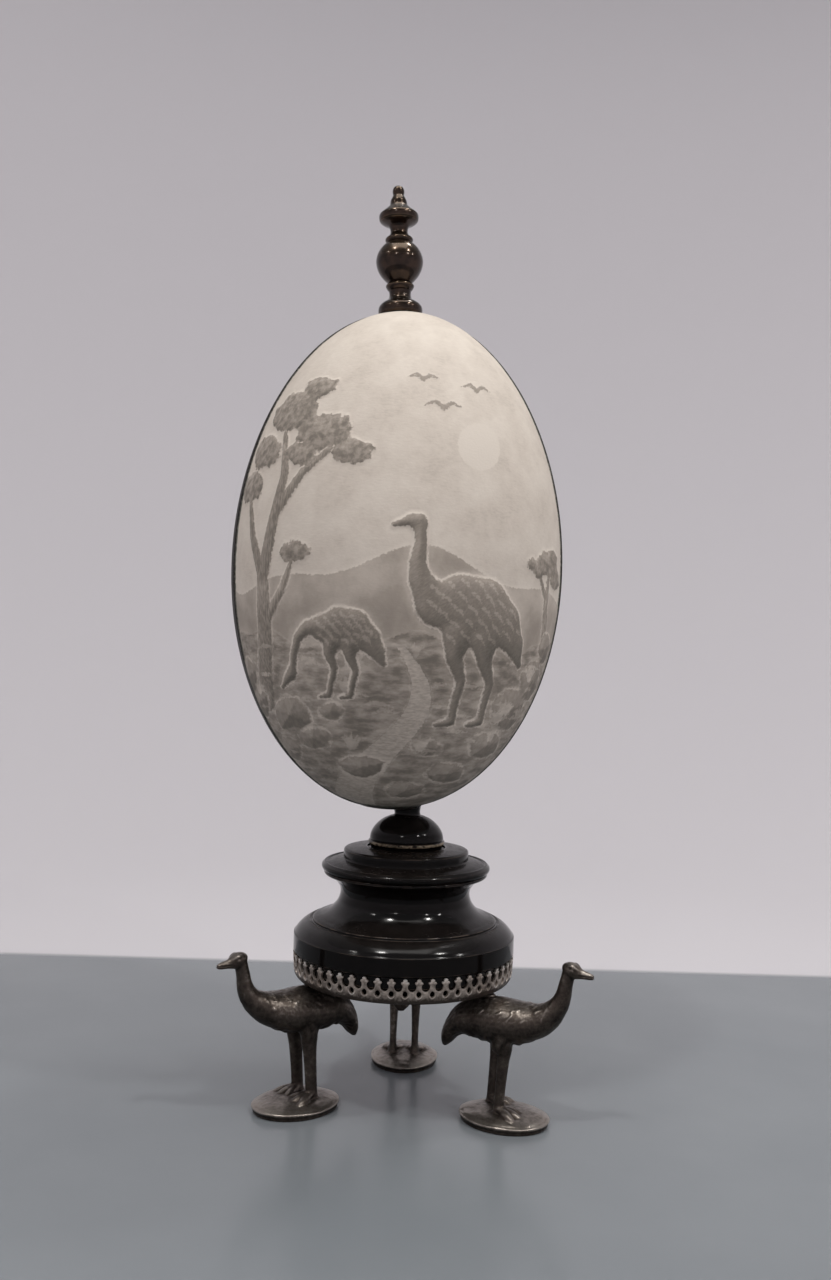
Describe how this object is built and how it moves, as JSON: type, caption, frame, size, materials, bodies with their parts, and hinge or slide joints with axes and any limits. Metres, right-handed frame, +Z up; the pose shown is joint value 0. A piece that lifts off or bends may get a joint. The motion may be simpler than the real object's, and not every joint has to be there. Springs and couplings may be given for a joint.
{
  "type": "carved emu egg on stand",
  "caption": "Carved emu egg stood on end between a turned finial and an ebonised plinth, in a pierced tray carried on the backs of cast emus.",
  "frame": {"origin": "on the surface that the object stands on, under the middle of its whole bounding box; the stand's own axis is 0.8 mm to the right of it and 2.5 mm in front of it", "axes": "+Z up along the egg, -Y towards the carved front, +X to the right as seen from the front"},
  "size_m": [0.0978, 0.095, 0.2489],
  "materials": {
    "bronze": "dark brown patinated bronze, polished by handling",
    "shell": "emu eggshell carved through its dark green skin into grey and cream layers, dull",
    "dome_lacquer": "black lacquer with a brassy worn bead",
    "plinth_lacquer": "ebonised wood, glossy, worn a little brown on its edges",
    "tray_pewter": "thin pierced pewter, dull, dark in its corners",
    "emu_pewter": "cast pewter, grey brown with bright rubbed ridges"
  },
  "bodies": {
    "root": {"finial": "bronze", "egg": "shell", "dome": "dome_lacquer", "plinth": "plinth_lacquer", "tray": "tray_pewter", "emu_left": "emu_pewter", "emu_right": "emu_pewter", "emu_back": "emu_pewter"}
  },
  "joints": []
}
